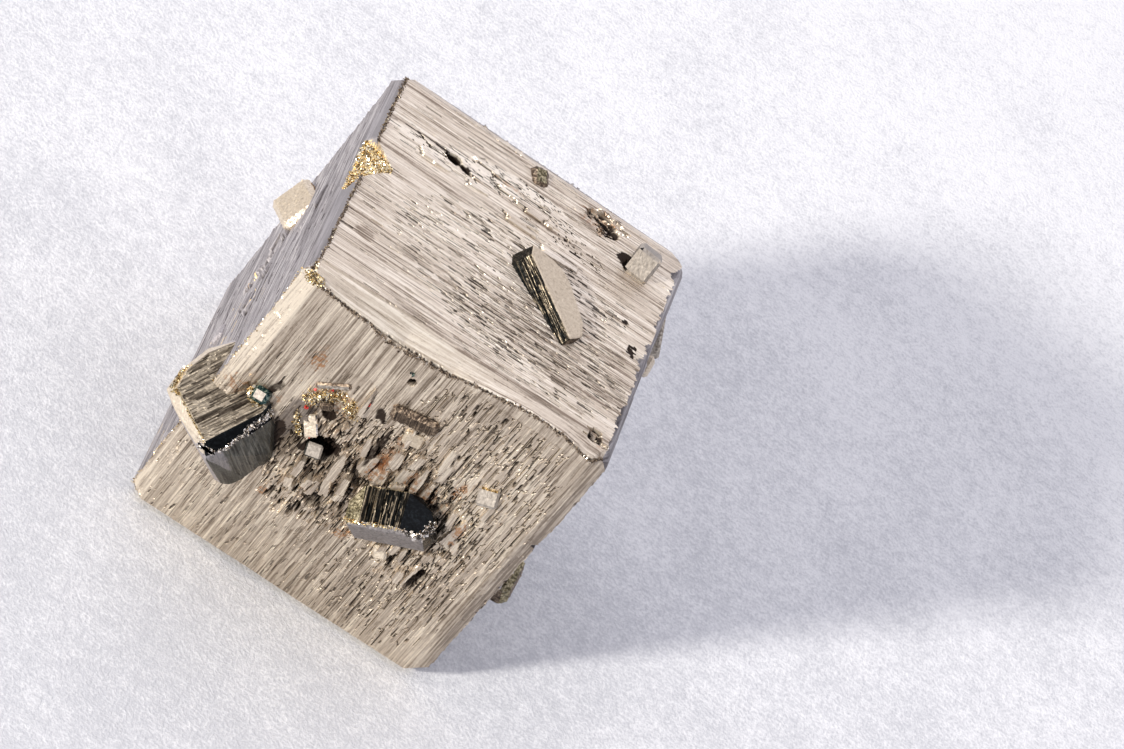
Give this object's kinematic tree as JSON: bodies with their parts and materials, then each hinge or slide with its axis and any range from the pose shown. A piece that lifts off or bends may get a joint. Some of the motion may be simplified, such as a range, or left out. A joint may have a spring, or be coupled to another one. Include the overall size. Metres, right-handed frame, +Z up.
{
  "type": "pyrite specimen",
  "caption": "Striated cube of pyrite with smaller crystals grown into its faces, a natural mineral specimen that stands on one flat face.",
  "frame": {"origin": "middle of the flat face that the crystal rests on", "axes": "+Z up, out of the face opposite the resting one; the broad broken face with the dark crystal looks along -Y, and the narrow face beside the largest intergrown crystal along -X"},
  "size_m": [0.056, 0.0554, 0.0553],
  "materials": {
    "pyrite": "metallic, satin"
  },
  "bodies": {
    "root": {"pyrite_crystal": "pyrite"}
  },
  "joints": []
}
